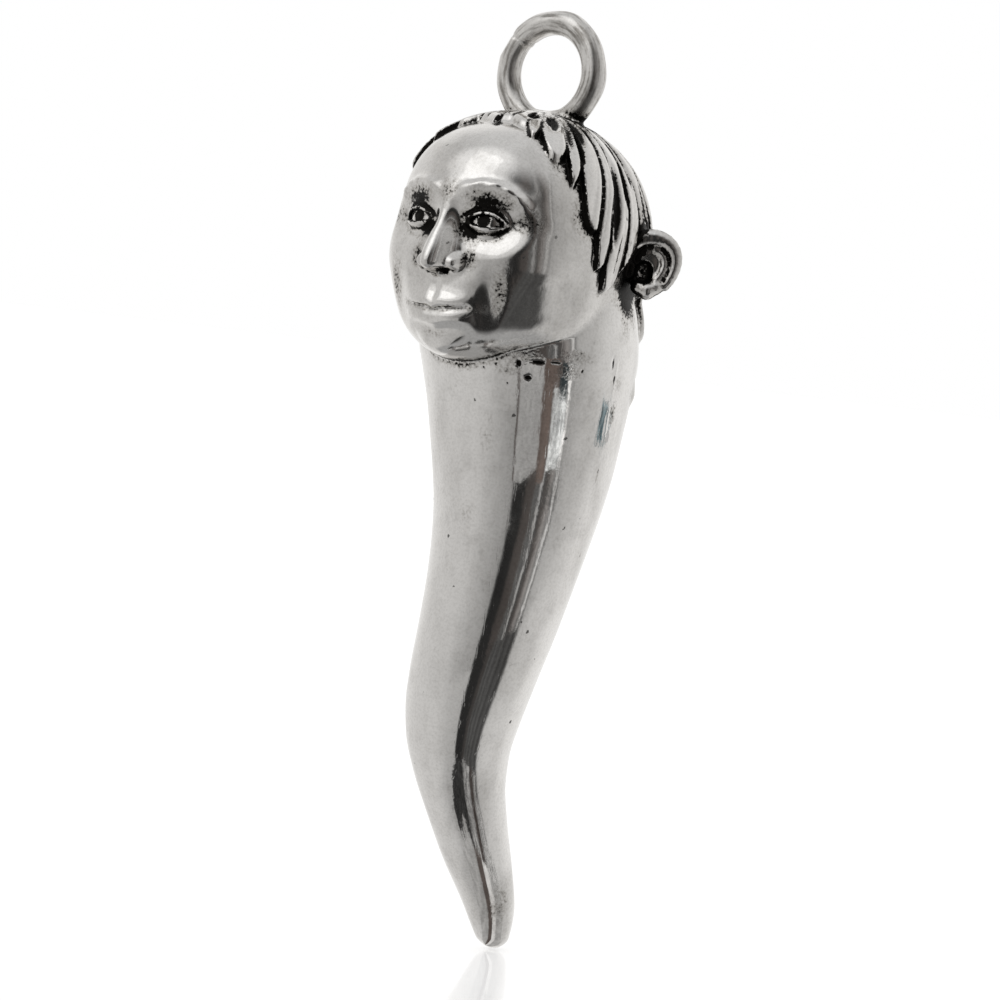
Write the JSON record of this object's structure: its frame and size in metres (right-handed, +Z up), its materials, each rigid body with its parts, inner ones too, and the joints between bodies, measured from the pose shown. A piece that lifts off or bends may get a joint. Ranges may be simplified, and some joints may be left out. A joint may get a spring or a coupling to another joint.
{
  "type": "cornicello horn pendant",
  "caption": "Cast silver horn pendant with a human head at its top, tapering in a soft S to a point, with a soldered ring for a chain.",
  "frame": {"origin": "inside top of the ring, where a chain bears when the pendant hangs", "axes": "+Z up as the pendant hangs, from the tip to the ring; -Y the way the face looks; +X the left side of the head's wearer; Y along the ring's hole"},
  "size_m": [0.0142, 0.014, 0.0443],
  "materials": {
    "silver": "polished cast silver, blackened in the hollows of the face, the hair and round the ears"
  },
  "bodies": {
    "root": {"horn_pendant": "silver"}
  },
  "joints": []
}
